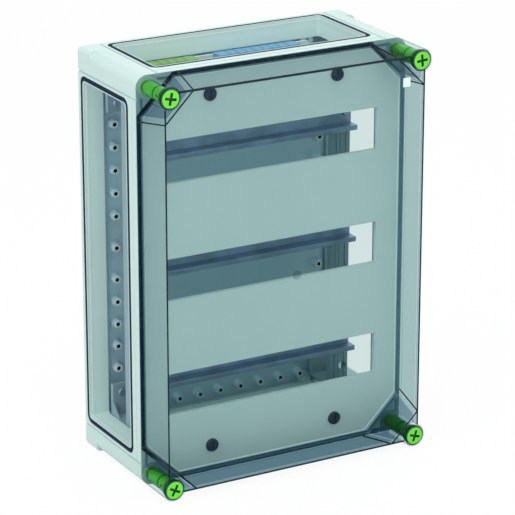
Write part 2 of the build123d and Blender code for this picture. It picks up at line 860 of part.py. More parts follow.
os.makedirs("parts", exist_ok=True)
keep("base", base)
keep("cover_seal", cover_seal)
keep("screw_bushes", screw_bushes)
keep("cover", cover)
keep("cover_label", cover_label)
keep("contact_plate", contact_plate)
keep("terminal_carrier", terminal_carrier)
for name, (place, side, is_side) in windows.items():
    keep(f"seal_{name}", window_seal(place, side, is_side))
turns = {"top_left": -12, "top_right": 5, "bottom_left": -28, "bottom_right": -18}
for name, (side, end) in corners.items():
    keep(f"cover_screw_{name}", lid_screw(side, end, turns[name]))
    keep(f"plate_lock_{name}", plate_lock(side, end))
for name, z in zip(row_names, rows):
    keep(f"din_rail_{name}", din_rail(z))
keep("rail_support_left", rail_support(-1))
keep("rail_support_right", rail_support(1))
rail_screw_places = [(side * rail_screw_x, z - mid_z) for side in (-1, 1) for z in rows]
keep(
    "rail_screws",
    pan_screws(
        rail_screw_places,
        y_web - rail_thick,
        rail_screw_r,
        rail_screw_head_r,
        rail_screw_head_h,
        rail_screw_len,
    ),
)
foot_screw_places = [(side * dome_x, end * support_dome_z) for side in (-1, 1) for end in (-1, 1)]
keep(
    "support_screws",
    pan_screws(
        foot_screw_places,
        y_dome - support_foot_thick,
        dome_hole_r,
        rail_screw_head_r,
        rail_screw_head_h,
        foot_screw_len,
    ),
)
carrier_screw_places = [(-dome_row_x, dome_row_z), (dome_row_x, dome_row_z)]
keep(
    "carrier_screws",
    pan_screws(
        carrier_screw_places,
        y_dome - carrier_thick,
        dome_hole_r,
        rail_screw_head_r,
        rail_screw_head_h,
        foot_screw_len,
    ),
)
keep("earth_terminal", terminal_block(earth_x, earth_cells, earth_len))
keep("neutral_terminal", terminal_block(neutral_x, neutral_cells, neutral_len))
keep("earth_bar", terminal_bar(earth_x, earth_len))
keep("neutral_bar", terminal_bar(neutral_x, neutral_len))
keep("earth_clamp_screws", clamp_screws(earth_x, earth_cells))
keep("neutral_clamp_screws", clamp_screws(neutral_x, neutral_cells))
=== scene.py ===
"""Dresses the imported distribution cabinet: shell, clear lid, screws, seals, rails and terminals.

Lengths in the code are metres in the row frame: +X to the right, +Y towards the wall, +Z up.
"""

import math

import bpy
from bpy.props import FloatProperty, FloatVectorProperty, PointerProperty
from bpy.types import Operator, Panel, PropertyGroup
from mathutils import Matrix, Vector


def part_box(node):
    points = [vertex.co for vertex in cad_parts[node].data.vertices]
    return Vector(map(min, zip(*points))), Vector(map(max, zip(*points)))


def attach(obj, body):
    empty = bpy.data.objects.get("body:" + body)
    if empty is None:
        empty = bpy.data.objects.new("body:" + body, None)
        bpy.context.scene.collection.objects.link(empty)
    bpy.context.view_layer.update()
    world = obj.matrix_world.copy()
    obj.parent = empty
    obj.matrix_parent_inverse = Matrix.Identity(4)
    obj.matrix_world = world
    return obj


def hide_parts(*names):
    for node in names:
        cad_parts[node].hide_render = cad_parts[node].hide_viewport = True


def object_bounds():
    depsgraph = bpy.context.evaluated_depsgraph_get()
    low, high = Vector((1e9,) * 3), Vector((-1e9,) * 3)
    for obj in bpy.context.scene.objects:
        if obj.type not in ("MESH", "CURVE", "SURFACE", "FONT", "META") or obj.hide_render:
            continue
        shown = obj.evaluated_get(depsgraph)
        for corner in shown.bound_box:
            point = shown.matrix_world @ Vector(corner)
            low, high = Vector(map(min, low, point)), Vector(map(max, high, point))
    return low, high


bl_info = {
    "name": "Distribution cabinet",
    "version": (1, 0, 0),
    "blender": (4, 5, 0),
    "location": "3D view > Sidebar > Cabinet",
    "description": "Gives a packed distribution cabinet its rounded edges, finishes and studio",
    "category": "Object",
}

MM = 0.001

# How near to a level a face's middle lies when the face belongs to it
TOUCH = 0.3 * MM

CORNERS = {
    "top_left": (-1, 1),
    "top_right": (1, 1),
    "bottom_left": (-1, -1),
    "bottom_right": (1, -1),
}
SIDES = ("left", "right", "top", "bottom")

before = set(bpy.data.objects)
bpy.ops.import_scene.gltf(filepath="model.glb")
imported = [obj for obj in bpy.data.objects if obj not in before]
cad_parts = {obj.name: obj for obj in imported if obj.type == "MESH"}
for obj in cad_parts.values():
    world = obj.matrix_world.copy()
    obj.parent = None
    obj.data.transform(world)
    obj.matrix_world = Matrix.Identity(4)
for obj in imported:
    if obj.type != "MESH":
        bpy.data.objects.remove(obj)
cad_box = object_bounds()
case_low, case_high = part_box("base")
lid_low, lid_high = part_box("cover")
plate_low, plate_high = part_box("contact_plate")
middle_z = (case_low.z + case_high.z) / 2

# Where painted light and shade change the shell's plastic: inwards from the flanges, and forwards
# from the back
WINDOW_SHADE = (1 * MM, 12 * MM)
INSIDE_SHADE = (21.5 * MM, 23.5 * MM)
BACK_SHADE = (4 * MM, 2 * MM)
RIM_SHADE = 6 * MM


def colour(default, name, description):
    """A colour setting for a property group."""
    return FloatVectorProperty(
        name=name,
        description=description,
        subtype="COLOR",
        size=3,
        min=0.0,
        max=1.0,
        default=default,
    )


def length(default, name, description):
    """A length setting for a property group, in metres."""
    return FloatProperty(
        name=name,
        description=description,
        default=default,
        min=0.0,
        unit="LENGTH",
        precision=5,
    )


class CabinetSizes(PropertyGroup):
    """Sizes of the dressing that aren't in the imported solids."""

    case_edge: length(0.35 * MM, "Shell edge", "Radius on the edges of the moulded shell")
    plate_edge: length(0.3 * MM, "Plate edge", "Radius on the edges of the inner plate")
    lid_edge: length(0.3 * MM, "Lid edge", "Radius on the edges of the clear lid")
    seal_edge: length(0.7 * MM, "Seal edge", "Radius on the edges of the seals")
    rail_edge: length(0.5 * MM, "Rail bend", "Radius on the bends of the rails")
    screw_edge: length(0.3 * MM, "Screw edge", "Radius on the edges of screws and locks")
    line_radius: length(0.75 * MM, "Lid line", "Radius of the dark lines along the lid's edges")
    top_line_radius: length(1.25 * MM, "Top line", "Radius of the dark line along the top edge")
    face_inset: length(7.0 * MM, "Lid flare", "How far the lid's face lies inside its rim")
    corner_leg: length(47.0 * MM, "Corner leg", "How much the diagonal walls cut off a corner")
    screw_inset: length(12.5 * MM, "Screw inset", "Distance of the screw axes from the sides")
    lid_wall: length(3.0 * MM, "Lid wall", "Thickness of the lid's walls")
    mark_radius: length(4.4 * MM, "Lid mark", "Radius of the round mark in the middle of the face")
    core_thick: length(0.2 * MM, "Lid core", "Thickness of the tint where the lid's walls meet")
    core_wide: length(3.75 * MM, "Lid core, width", "Width of that tint, across the corner")
    dome_column: length(123.0 * MM, "Dome columns", "From the middle to each column of screw domes")
    dome_row: length(184.7 * MM, "Dome rows", "From the middle to each row of screw domes")
    dome_pitch: length(25.0 * MM, "Dome pitch", "From one screw dome to the next")
    dome_first: length(35.0 * MM, "First dome", "From the middle to the second dome of a column")
    dome_hole: length(2.5 * MM, "Dome hole", "Reach of the blind hole round a dome's axis")
    dome_hole_deep: length(7.2 * MM, "Dome hole, depth", "Depth of the shade in a dome's hole")
    channel_front: length(1.5 * MM, "Channel front", "How far the channels stand before the face")
    channel_reach: length(13.0 * MM, "Channel reach", "Reach of a screw channel round its axis")
    channel_clear: length(11.0 * MM, "Channel clearance", "From a screw's axis to the lid's lines")
    head_ring: length(10.9 * MM, "Head ring", "Radius of the dark ring round a screw's head")
    head_ring_wire: length(0.55 * MM, "Head ring, wire", "Radius of that ring's own section")
    mark_wire: length(0.16 * MM, "Lid mark, wire", "Radius of the section of the mark's ring")
    head_flat: length(9.3 * MM, "Head, flat", "Radius of the flat front of a screw's head")
    head_deep: length(9.0 * MM, "Head, depth", "How far the shade on a head's edge reaches back")
    cross_reach: length(6.6 * MM, "Cross recess", "Reach of the cross recess round its axis")
    cross_deep: length(4.0 * MM, "Cross recess, depth", "Depth of the shade in the cross recess")
    body_back: length(8.0 * MM, "Screw body", "From a screw's front to the body in its channel")
    bead: length(0.6 * MM, "Plate bead", "Height of the bead round the inner plate")
    gate_x: length(128.0 * MM, "Gate mark, across", "From the middle of the plate to its gate mark")
    gate_z: length(180.0 * MM, "Gate mark, up", "From the middle of the plate to its gate mark")
    gate_radius: length(3.8 * MM, "Gate mark", "Radius of the plate's gate mark")
    gate_wire: length(0.14 * MM, "Gate mark, wire", "Radius of the section of the gate mark")
    cutout_from: length(30.0 * MM, "Cut-outs from", "The cut-outs' sides lie farther out than this")
    cutout_margin: length(20.0 * MM, "Cut-out margin", "Plate left beside a cut-out at the least")
    label_edge: length(0.06 * MM, "Label edge", "Radius on the edges of the label")
    bush_edge: length(0.15 * MM, "Bush edge", "Radius on the edges of the brass bushes")
    carrier_edge: length(0.3 * MM, "Carrier edge", "Radius on the edges of the terminal carrier")
    terminal_edge: length(0.25 * MM, "Terminal edge", "Radius on the edges of the terminals")
    bar_edge: length(0.2 * MM, "Bar edge", "Radius on the edges of bars and clamp screws")


class CabinetColours(PropertyGroup):
    """Colours of the finishes; some of them carry painted light and shade."""

    case: colour((0.55, 0.685, 0.655), "Shell", "Moulded plastic of the shell")
    # Painted light and shade: the shell is lighter and greener in its windows, where bounced light
    # falls, and darker and bluer inside
    case_window: colour((0.62, 0.80, 0.77), "Shell, windows", "The same in the windows' shade")
    case_inside: colour((0.40, 0.585, 0.665), "Shell, inside", "The same in the light inside")
    plate: colour((0.70, 0.737, 0.737), "Plate", "Moulded plastic of the inner plate")
    # Painted highlight: the bead and the cut-outs' sides are painted lighter than the plate
    plate_highlight: colour((0.95, 0.97, 0.97), "Plate rim", "The highlit bead round the inner plate")
    seal: colour((0.004, 0.017, 0.042), "Window seals", "Foam seals of the flange windows")
    rim_seal: colour((0.016, 0.042, 0.085), "Rim seal", "Seal of the lid, above and to the left")
    rim_seal_lit: colour((0.42, 0.53, 0.69), "Rim seal, lit", "The same, below and to the right")
    # Painted highlight: the dome tips are lighter than the painted shade round them
    dome_tip_highlight: colour((0.55, 0.70, 0.70), "Dome tips", "The highlighted flat tips of the screw domes")
    # Painted shade: the dark colour in the dome holes stands in for the shade that falls in them
    hole: colour((0.01, 0.03, 0.045), "Blind holes", "The shade in the holes of the screw domes")
    carrier: colour((0.55, 0.68, 0.66), "Carrier", "Moulded plastic of the terminal carrier")
    # Painted shade: the uprights are coloured darker than their light grey plastic to stand in for
    # their shade
    upright: colour((0.24, 0.36, 0.41), "Uprights", "Moulded plastic of the rail supports")
    lid_through: colour((0.825, 0.90, 0.895), "Lid face", "What the face's surface lets through")
    wall_through: colour((0.77, 0.84, 0.845), "Lid walls", "What a wall's surface lets through")
    corner_through: colour((0.72, 0.785, 0.84), "Lid corners", "What the diagonals let through")
    channel_through: colour((0.82, 0.90, 0.89), "Screw channels", "What the channels let through")
    # Painted shade: the lid's bottom wall lets less through, for the shade behind it
    under_shade_through: colour((0.42, 0.535, 0.60), "Lid, underneath", "What the bottom lets through")
    lid_body: colour((0.02, 0.04, 0.05), "Lid, body", "The lid's own colour in its thick places")
    screw: colour((0.145, 0.70, 0.032), "Lid screws", "Plastic of the lid screws")
    # Painted shade: the screw bodies are darker inside the channels
    screw_body_shade: colour((0.10, 0.58, 0.03), "Screw bodies", "The same plastic inside the channels")
    # Painted shade in the cross recess and on the head's edge
    screw_shade: colour((0.01, 0.11, 0.02), "Screw recess", "The shaded cross recess")
    lock: colour((0.012, 0.025, 0.05), "Turn locks", "Plastic of the plate's turn locks")
    steel: colour((0.32, 0.42, 0.56), "Rails", "Zinc-plated steel")
    brass: colour((0.75, 0.55, 0.22), "Brass", "Bushes and bars")
    green: colour((0.20, 0.40, 0.12), "Earth terminals", "Plastic of the earth terminals")
    blue: colour((0.15, 0.36, 0.57), "Neutral terminals", "Plastic of the neutral terminals")
    label: colour((0.95, 0.97, 0.92), "Label", "Blank label")


class CabinetStage(PropertyGroup):
    """Light and camera."""

    light: FloatProperty(
        name="Light",
        description="Level of the studio lamps",
        default=1.0,
        min=0.0,
        soft_max=4.0,
    )
    ambient: FloatProperty(
        name="Ambient",
        description="Level of the light from all round",
        default=0.55,
        min=0.0,
        soft_max=2.0,
    )
    azimuth: FloatProperty(
        name="Azimuth",
        description="Side from which the camera looks",
        default=math.radians(-29.44),
        unit="ROTATION",
    )
    elevation: FloatProperty(
        name="Elevation",
        description="Height of the camera's look",
        default=math.radians(19.4),
        unit="ROTATION",
    )
    distance: length(2.885, "Distance", "From the camera to the aimed point")
    lens: FloatProperty(
        name="Lens",
        description="Focal length in millimetres on a 36 mm sensor",
        default=192.8,
        min=10.0,
    )
    aim: FloatVectorProperty(
        name="Aim",
        description="Point in the middle of the picture",
        default=(0.0027, 0.0, 0.2111),
        subtype="XYZ",
        unit="LENGTH",
    )


class Value:
    """A number from a node socket, which takes part in Python arithmetic."""

    def __init__(self, finish, socket):
        self.finish = finish
        self.socket = socket

    def apply(self, operation, *others):
        """One arithmetic node that starts from this value."""
        made = self.finish.node("ShaderNodeMath", {"operation": operation}, self, *others)
        return Value(self.finish, made.outputs[0])

    def __add__(self, other):
        return self.apply("ADD", other)

    def __sub__(self, other):
        return self.apply("SUBTRACT", other)

    def __mul__(self, other):
        return self.apply("MULTIPLY", other)

    def __radd__(self, other):
        return self.apply("ADD", other)

    def __rsub__(self, other):
        made = self.finish.node("ShaderNodeMath", {"operation": "SUBTRACT"}, other, self)
        return Value(self.finish, made.outputs[0])

    def larger(self, other):
        return self.apply("MAXIMUM", other)

    def smaller(self, other):
        return self.apply("MINIMUM", other)

    def ramp(self, low, high):
        """0 below low, 1 above high, and smooth between them."""
        made = self.finish.node(
            "ShaderNodeMapRange", {"interpolation_type": "SMOOTHSTEP"}, self, low, high, 0.0, 1.0
        )
        return Value(self.finish, made.outputs[0])


class Finish:
    """One material, built node by node."""

    def __init__(self, name, tree=None):
        if tree is None:
            self.material = bpy.data.materials.new(name)
            self.material.use_nodes = True
            tree = self.material.node_tree
        self.tree = tree
        self.tree.nodes.clear()
        self.places = None

    def node(self, kind, settings=None, *values, **named):
        """A node of this type: its settings first, and then its sockets, in order or by name."""
        made = self.tree.nodes.new(kind)
        for key, value in (settings or {}).items():
            setattr(made, key, value)
        for key, value in list(enumerate(values)) + list(named.items()):
            socket = made.inputs[key.replace("_", " ") if isinstance(key, str) else key]
            if isinstance(value, Value):
                value = value.socket
            if isinstance(value, bpy.types.NodeSocket):
                self.tree.links.new(value, socket)
            elif value is not None:
                socket.default_value = value
        return made

    def place(self):
        """Object coordinates."""
        if self.places is None:
            self.places = self.node("ShaderNodeTexCoord").outputs["Object"]
        return self.places

    def stretched(self, scale):
        """Object coordinates with their own scale along each axis."""
        return self.node("ShaderNodeMapping", None, Vector=self.place(), Scale=scale).outputs[0]

    def noise(self, scale, detail=2.0, vector=None, roughness=0.5):
        made = self.node(
            "ShaderNodeTexNoise",
            None,
            Vector=vector or self.place(),
            Scale=scale,
            Detail=detail,
            Roughness=roughness,
        )
        return Value(self, made.outputs[0])

    def cells(self, scale, vector=None):
        made = self.node("ShaderNodeTexVoronoi", None, Vector=vector or self.place(), Scale=scale)
        return Value(self, made.outputs["Distance"])

    def how_far_in(self, start, end):
        """0 up to the start distance behind the nearest flange, and 1 from the end distance on."""
        parts = self.node("ShaderNodeSeparateXYZ", None, self.place()).outputs
        x, y, z = (Value(self, part) for part in parts)
        from_side = case_high.x - x.apply("ABSOLUTE")
        from_end = (case_high.z - case_low.z) / 2 - (z - middle_z).apply("ABSOLUTE")
        inside = from_side.smaller(from_end).ramp(start, end)
        before_back = 1.0 - y.ramp(*(case_high.y - gap for gap in BACK_SHADE))
        return inside * before_back * y.ramp(plate_high.y, plate_high.y + RIM_SHADE)

    def low_or_right(self):
        """0 along the top and the left side, and 1 along the bottom and the right side."""
        parts = self.node("ShaderNodeSeparateXYZ", None, self.place()).outputs
        x, z = Value(self, parts[0]), Value(self, parts[2])
        across = x * (1 / case_high.x) - (z - middle_z) * (2 / (case_high.z - case_low.z))
        return across.ramp(-0.1, 0.1)

    def blend(self, share, first, second):
        """A colour between two colours."""
        made = self.node("ShaderNodeMix", {"data_type": "RGBA"}, share)
        for socket, value in ((made.inputs[6], first), (made.inputs[7], second)):
            if isinstance(value, bpy.types.NodeSocket):
                self.tree.links.new(value, socket)
            else:
                socket.default_value = (*value, 1.0)
        return made.outputs[2]

    def bump(self, height, distance, strength=1.0):
        return self.node(
            "ShaderNodeBump", None, Strength=strength, Distance=distance, Height=height
        ).outputs[0]

    def surface(self, **sockets):
        return self.node("ShaderNodeBsdfPrincipled", None, **sockets).outputs[0]

    def output(self, shader):
        self.node("ShaderNodeOutputMaterial", None, shader)
        return self.material


def shade(base, factor):
    """A colour made darker or lighter."""
    return tuple(min(1.0, channel * factor) for channel in base)


def moulded_plastic(name, base, grain=2400.0, rough=0.42, grain_depth=0.05 * MM, shaded=None):
    """Injection moulded plastic: fine spark-eroded grain, faint flow marks and a soft gloss.
    shaded, when given, is a pair of colours: painted light in the windows and painted shade inside.
    """
    finish = Finish(name)
    flow = finish.noise(9.0, 3.0, finish.stretched((1.0, 1.0, 0.35)))
    fine = finish.noise(grain, 2.0)
    handled = finish.noise(38.0, 4.0, roughness=0.6)
    tone = finish.blend(flow.ramp(0.3, 0.75), shade(base, 0.97), shade(base, 1.02))
    # Painted light in the shell's windows and painted shade inside it
    if shaded:
        window, inside = shaded
        tone = finish.blend(finish.how_far_in(*WINDOW_SHADE), tone, window)
        inner = finish.blend(flow.ramp(0.3, 0.75), shade(inside, 0.97), shade(inside, 1.02))
        tone = finish.blend(finish.how_far_in(*INSIDE_SHADE), tone, inner)
    tone = finish.blend(fine.ramp(0.35, 0.8) * 0.12, tone, shade(base, 0.86))
    return finish.output(
        finish.surface(
            Base_Color=tone,
            Roughness=rough + handled.ramp(0.35, 0.8) * 0.08 + fine * 0.05,
            Normal=finish.bump(fine, grain_depth, 0.35),
            IOR=1.5,
        )
    )


def foam_seal(name, base, lit=None):
    """Closed-cell foam: open pores on a matt skin. lit is its colour below and to the right."""
    finish = Finish(name)
    pores = finish.cells(1500.0)
    dust = finish.noise(120.0, 3.0)
    tone = finish.blend(dust.ramp(0.5, 0.85) * 0.4, base, shade(base, 1.8))
    if lit:
        tone = finish.blend(finish.low_or_right(), tone, lit)
    return finish.output(
        finish.surface(
            Base_Color=tone,
            Roughness=0.72 + dust * 0.12,
            Normal=finish.bump(pores, 0.12 * MM, 0.6),
            Specular_IOR_Level=0.15,
        )
    )


def gloss_plastic(name, base, rough=0.26):
    """Coloured gloss plastic with the fine swirl that its mould leaves."""
    finish = Finish(name)
    swirl = finish.noise(700.0, 2.0)
    cloud = finish.noise(60.0, 3.0)
    tone = finish.blend(cloud.ramp(0.35, 0.7), shade(base, 0.93), shade(base, 1.04))
    return finish.output(
        finish.surface(
            Base_Color=tone,
            Roughness=rough + cloud * 0.08,
            Normal=finish.bump(swirl, 0.03 * MM, 0.25),
            IOR=1.5,
        )
    )


def zinc_plate(name, base, along=(1.0, 40.0, 40.0)):
    """Zinc-plated strip: rolling lines along the strip and cloudy plating."""
    finish = Finish(name)
    rolled = finish.noise(60.0, 4.0, finish.stretched(along))
    cloud = finish.noise(45.0, 3.0)
    tone = finish.blend(cloud.ramp(0.35, 0.7), shade(base, 0.85), shade(base, 1.12))
    tone = finish.blend(rolled.ramp(0.4, 0.7) * 0.35, tone, shade(base, 0.75))
    return finish.output(
        finish.surface(
            Base_Color=tone,
            Metallic=0.75,
            Roughness=0.36 + rolled * 0.14,
            Normal=finish.bump(rolled, 0.04 * MM, 0.35),
        )
    )


def turned_brass(name, base):
    """Turned brass with fine tool marks and a little tarnish."""
    finish = Finish(name)
    marks = finish.noise(300.0, 2.0, finish.stretched((1.0, 6.0, 1.0)))
    tarnish = finish.noise(70.0, 3.0)
    tone = finish.blend(tarnish.ramp(0.5, 0.8), base, shade(base, 0.6))
    return finish.output(
        finish.surface(
            Base_Color=tone,
            Metallic=1.0,
            Roughness=0.25 + tarnish * 0.2,
            Normal=finish.bump(marks, 0.03 * MM, 0.3),
        )
    )


def label_film_with_glow(name, base):
    """Blank film with a light orange-peel surface and a painted glow."""
    finish = Finish(name)
    peel = finish.noise(900.0, 1.0)
    tone = finish.blend(peel.ramp(0.4, 0.7) * 0.2, base, shade(base, 0.9))
    return finish.output(
        finish.surface(
            Base_Color=tone,
            Roughness=0.3,
            Normal=finish.bump(peel, 0.02 * MM, 0.3),
            # Painted light: the label glows a little, though it is no lamp
            Emission_Color=tone,
            Emission_Strength=0.45,
        )
    )


def clear_smoke(name, through, body, edge_share=0.55):
    """Clear smoke plastic: see-through face on, darker and glossy at a glancing angle."""
    finish = Finish(name)
    facing = Value(finish, finish.node("ShaderNodeLayerWeight", None, Blend=0.5).outputs["Facing"])
    ripple = finish.noise(14.0, 2.0)
    dust = finish.noise(2600.0, 1.0)
    gloss = finish.surface(
        Base_Color=finish.blend(dust * 0.15, body, shade(body, 1.6)),
        Roughness=0.05 + dust.ramp(0.55, 0.9) * 0.08,
        Normal=finish.bump(ripple, 0.6 * MM, 0.12),
        IOR=1.58,
    )
    window = finish.node("ShaderNodeBsdfTransparent", None, (*through, 1.0)).outputs[0]
    share = 0.03 + facing.ramp(0.68, 1.0) * edge_share
    return finish.output(finish.node("ShaderNodeMixShader", None, share, window, gloss).outputs[0])


def dark_edge(name, body):
    """The thick edges of the clear lid, where the light is caught."""
    finish = Finish(name)
    cloud = finish.noise(90.0, 2.0)
    return finish.output(
        finish.surface(
            Base_Color=finish.blend(cloud.ramp(0.3, 0.7), shade(body, 0.8), shade(body, 1.3)),
            Roughness=0.35 + cloud * 0.1,
            Normal=finish.bump(cloud, 0.05 * MM, 0.2),
            Specular_IOR_Level=0.1,
        )
    )


def only(*pieces):
    """Select just these pieces and make the first one active."""
    bpy.ops.object.select_all(action="DESELECT")
    for piece in pieces:
        piece.select_set(True)
    bpy.context.view_layer.objects.active = pieces[0]


def joined_copy(node, name):
    """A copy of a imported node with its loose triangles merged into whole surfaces."""
    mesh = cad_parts[node].data.copy()
    mesh.name = name
    piece = bpy.data.objects.new(name, mesh)
    bpy.context.scene.collection.objects.link(piece)
    only(piece)
    if mesh.has_custom_normals:
        bpy.ops.mesh.customdata_custom_splitnormals_clear()
    bpy.ops.object.mode_set(mode="EDIT")
    bpy.ops.mesh.select_all(action="SELECT")
    bpy.ops.mesh.remove_doubles(threshold=0.002 * MM)
    bpy.ops.object.mode_set(mode="OBJECT")
    return piece


def round_edges(piece, radius, segments=2, sharper_than=34.0):
    """Round every edge that is sharper than an angle, in degrees, without growing the piece."""
    points = [vertex.co for vertex in piece.data.vertices]
    low = [min(point[axis] for point in points) for axis in range(3)]
    high = [max(point[axis] for point in points) for axis in range(3)]
    only(piece)
    bevel = piece.modifiers.new("edge", "BEVEL")
    bevel.width = radius
    bevel.segments = segments
    bevel.limit_method = "ANGLE"
    bevel.angle_limit = math.radians(sharper_than)
    bevel.use_clamp_overlap = False
    bevel.loop_slide = False
    bpy.ops.object.modifier_apply(modifier="edge")
    for vertex in piece.data.vertices:
        vertex.co = [min(max(vertex.co[axis], low[axis]), high[axis]) for axis in range(3)]
    bpy.ops.object.shade_smooth_by_angle(angle=math.radians(50))
    weights = piece.modifiers.new("flat faces", "WEIGHTED_NORMAL")
    weights.keep_sharp = True
    bpy.ops.object.modifier_apply(modifier="flat faces")


def finish_piece(piece, material, slot, body, *replaced):
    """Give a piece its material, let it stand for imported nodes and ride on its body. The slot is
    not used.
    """
    piece.data.materials.clear()
    piece.data.materials.append(material)
    if replaced:
        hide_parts(*replaced)
    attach(piece, body)
    return piece


def dress(node, name, radius, material, slot, body, segments=2):
    """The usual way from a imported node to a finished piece."""
    piece = joined_copy(node, name)
    round_edges(piece, radius, segments)
    return finish_piece(piece, material, slot, body, node)


def paint(piece, material, belongs):
    """Give a second material to the faces that a test picks out."""
    piece.data.materials.append(material)
    index = len(piece.data.materials) - 1
    for face in piece.data.polygons:
        if belongs(face.center, face.normal):
            face.material_index = index


def line(start, end, radius):
    """A straight dark line between two points."""
    start, end = Vector(start), Vector(end)
    run = end - start
    bpy.ops.mesh.primitive_cylinder_add(
        vertices=10,
        radius=radius,
        depth=run.length,
        location=(start + end) / 2,
        rotation=run.to_track_quat("Z", "Y").to_euler(),
    )
    piece = bpy.context.object
    bpy.ops.object.transform_apply(location=True, rotation=True, scale=True)
    return piece


def ring(middle, major, minor):
    """A ring that lies square to the front."""
    bpy.ops.mesh.primitive_torus_add(
        major_segments=64,
        minor_segments=10,
        major_radius=major,
        minor_radius=minor,
        location=middle,
        rotation=(math.pi / 2, 0, 0),
    )
    return bpy.context.object


def sheet(middle, size, axis, way):
    """A thin sheet turned an eighth round one axis."""
    turn = {"X": (way * math.pi / 4, 0, 0), "Z": (0, 0, way * math.pi / 4)}[axis]
    bpy.ops.mesh.primitive_cube_add(size=1.0, location=middle, rotation=turn, scale=size)
    piece = bpy.context.object
    bpy.ops.object.transform_apply(location=True, rotation=True, scale=True)
    return piece


def join(name, pieces):
    """Make one piece of several."""
    only(*pieces)
    bpy.ops.object.join()
    piece = bpy.context.object
    piece.name = name
    piece.data.name = name
    bpy.ops.object.transform_apply(location=True, rotation=True, scale=True)
    return piece


class CABINET_OT_shell(Operator):
    """Moulded shell with its softened edges"""

    bl_idname = "cabinet.shell"
    bl_label = "Shell"

    def execute(self, context):
        sizes, colours = context.scene.cabinet_sizes, context.scene.cabinet_colours
        shaded = (colours.case_window, colours.case_inside)
        plastic = moulded_plastic("shell plastic", colours.case, shaded=shaded)
        shell = dress("base", "shell", sizes.case_edge, plastic, "case_grey", "case")
        axes = self.dome_axes(sizes)
        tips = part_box("terminal_carrier")[1].y
        # Painted shade in the dome holes
        paint(
            shell,
            moulded_plastic("shell plastic, painted hole shade", colours.hole),
            lambda place, normal: self.in_hole(place, tips, axes, sizes),
        )
        # Painted highlight on the dome tips
        paint(
            shell,
            moulded_plastic("shell plastic, painted tip highlight", colours.dome_tip_highlight),
            lambda place, normal: self.on_tip(place, normal, tips, axes, 2 * sizes.dome_hole),
        )
        # The uprights' darker colour is painted shade
        upright = moulded_plastic("upright plastic, painted shade", colours.upright)
        for side in ("left", "right"):
            dress(
                f"rail_support_{side}",
                f"upright_{side}",
                sizes.case_edge,
                upright,
                "case_grey",
                "case",
            )
        return {"FINISHED"}

    def dome_axes(self, sizes):
        """X and Z of every screw dome."""
        steps = [0.0] + [sizes.dome_first + step * sizes.dome_pitch for step in range(6)]
        axes = []
        for side, end in CORNERS.values():
            axes += [(side * sizes.dome_column, end * z) for z in steps]
        for step in range(-4, 5):
            axes += [(step * sizes.dome_pitch, end * sizes.dome_row) for end in (-1, 1)]
        return [(x, middle_z + z) for x, z in axes]

    def on_tip(self, place, normal, tips, axes, reach):
        """Whether a place lies on the flat tip of a screw dome."""
        if abs(place.y - tips) > TOUCH or normal.y > -0.8:
            return False
        return any(math.hypot(place.x - x, place.z - z) < reach for x, z in axes)

    def in_hole(self, place, tips, axes, sizes):
        """Whether a place lies in the blind hole of a screw dome."""
        if not tips + TOUCH < place.y < tips + sizes.dome_hole_deep:
            return False
        return any(math.hypot(place.x - x, place.z - z) < sizes.dome_hole for x, z in axes)


class CABINET_OT_seals(Operator):
    """Foam seals round the windows and along the rim"""

    bl_idname = "cabinet.seals"
    bl_label = "Seals"

    def execute(self, context):
        sizes, colours = context.scene.cabinet_sizes, context.scene.cabinet_colours
        window_foam = foam_seal("seal foam", colours.seal)
        rim_foam = foam_seal("rim seal foam", colours.rim_seal, colours.rim_seal_lit)
        seals = [(f"seal_{side}", f"window_seal_{side}", window_foam) for side in SIDES]
        seals.append(("cover_seal", "rim_seal", rim_foam))
        for node, name, foam in seals:
            dress(node, name, sizes.seal_edge, foam, "seal_dark", "case", 3)
        return {"FINISHED"}


